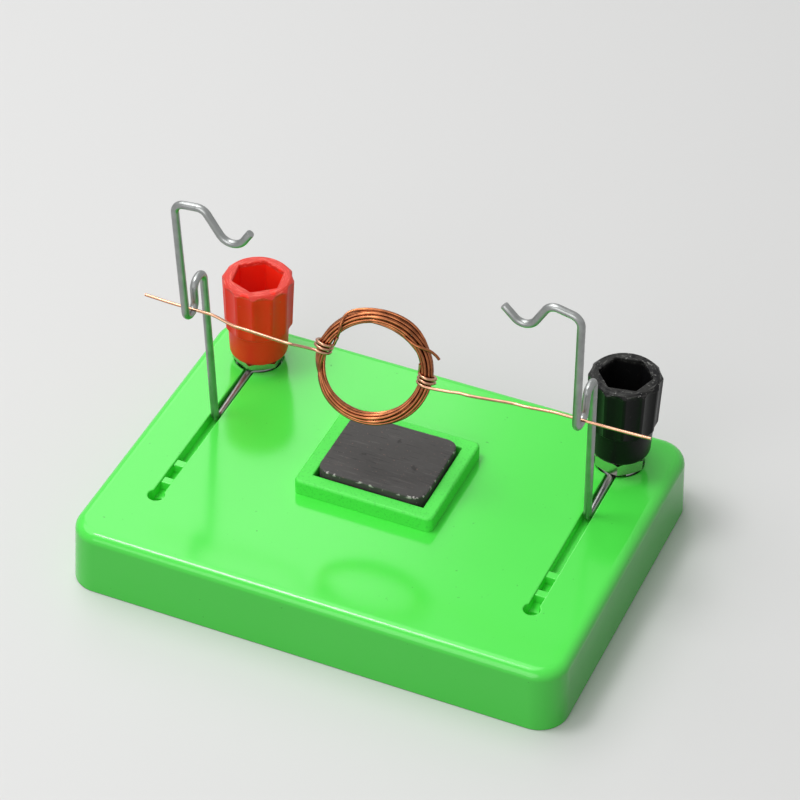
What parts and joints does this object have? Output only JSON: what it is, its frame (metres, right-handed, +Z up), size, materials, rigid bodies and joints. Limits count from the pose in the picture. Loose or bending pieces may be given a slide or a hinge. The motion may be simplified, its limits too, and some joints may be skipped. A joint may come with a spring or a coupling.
{
  "type": "demonstration electric motor",
  "caption": "Teaching motor: a copper coil turns in bent wire brackets above a ferrite magnet, on a moulded base with screw binding posts.",
  "frame": {"origin": "bottom centre of the moulded base", "axes": "+X along the axle towards the black binding post, +Y towards the binding posts, +Z up"},
  "size_m": [0.1114, 0.08, 0.0768],
  "materials": {
    "base_plastic": "gloss",
    "ferrite": "satin",
    "wire_steel": "galvanised",
    "plated_brass": "nickel plated",
    "insert_brass": "plain",
    "copper": "enamelled",
    "red_plastic": "satin",
    "black_plastic": "satin"
  },
  "bodies": {
    "base": {"base_shell": "base_plastic", "left_post_stud": "plated_brass", "left_clamp_nut": "plated_brass", "left_lower_nut": "plated_brass", "left_bracket": "wire_steel", "right_post_stud": "plated_brass", "right_clamp_nut": "plated_brass", "right_lower_nut": "plated_brass", "right_bracket": "wire_steel"},
    "magnet": {"magnet": "ferrite"},
    "rotor": {"coil_winding": "copper", "left_binding": "copper", "left_axle_lead": "copper", "right_binding": "copper", "right_axle_lead": "copper"},
    "red_insert": {"red_knob_insert": "insert_brass"},
    "red_knob": {"red_knob": "red_plastic"},
    "black_insert": {"black_knob_insert": "insert_brass"},
    "black_knob": {"black_knob": "black_plastic"}
  },
  "joints": [
    {"name": "rotor_spin", "type": "hinge", "parent": "base", "child": "rotor", "pos_m": [0, 0, 0.04752], "axis": [1, 0, 0], "continuous": true},
    {"name": "magnet_lift", "type": "slide", "parent": "base", "child": "magnet", "axis": [0, 0, 1], "range_m": [0, 0.01]},
    {"name": "red_knob_rise", "type": "slide", "parent": "base", "child": "red_insert", "axis": [0, 0, 1], "range_m": [0, 0.00405]},
    {"name": "red_knob_turn", "type": "hinge", "parent": "red_insert", "child": "red_knob", "pos_m": [-0.042, 0.0279, 0], "axis": [0, 0, 1], "range_deg": [0, 1440]},
    {"name": "black_knob_rise", "type": "slide", "parent": "base", "child": "black_insert", "axis": [0, 0, 1], "range_m": [0, 0.00405]},
    {"name": "black_knob_turn", "type": "hinge", "parent": "black_insert", "child": "black_knob", "pos_m": [0.042, 0.0279, 0], "axis": [0, 0, 1], "range_deg": [0, 1440]}
  ],
  "couplings": [
    {"joint": "red_knob_rise", "follows": "red_knob_turn", "m_per_rad": 0.00015915},
    {"joint": "black_knob_rise", "follows": "black_knob_turn", "m_per_rad": 0.00015915}
  ]
}
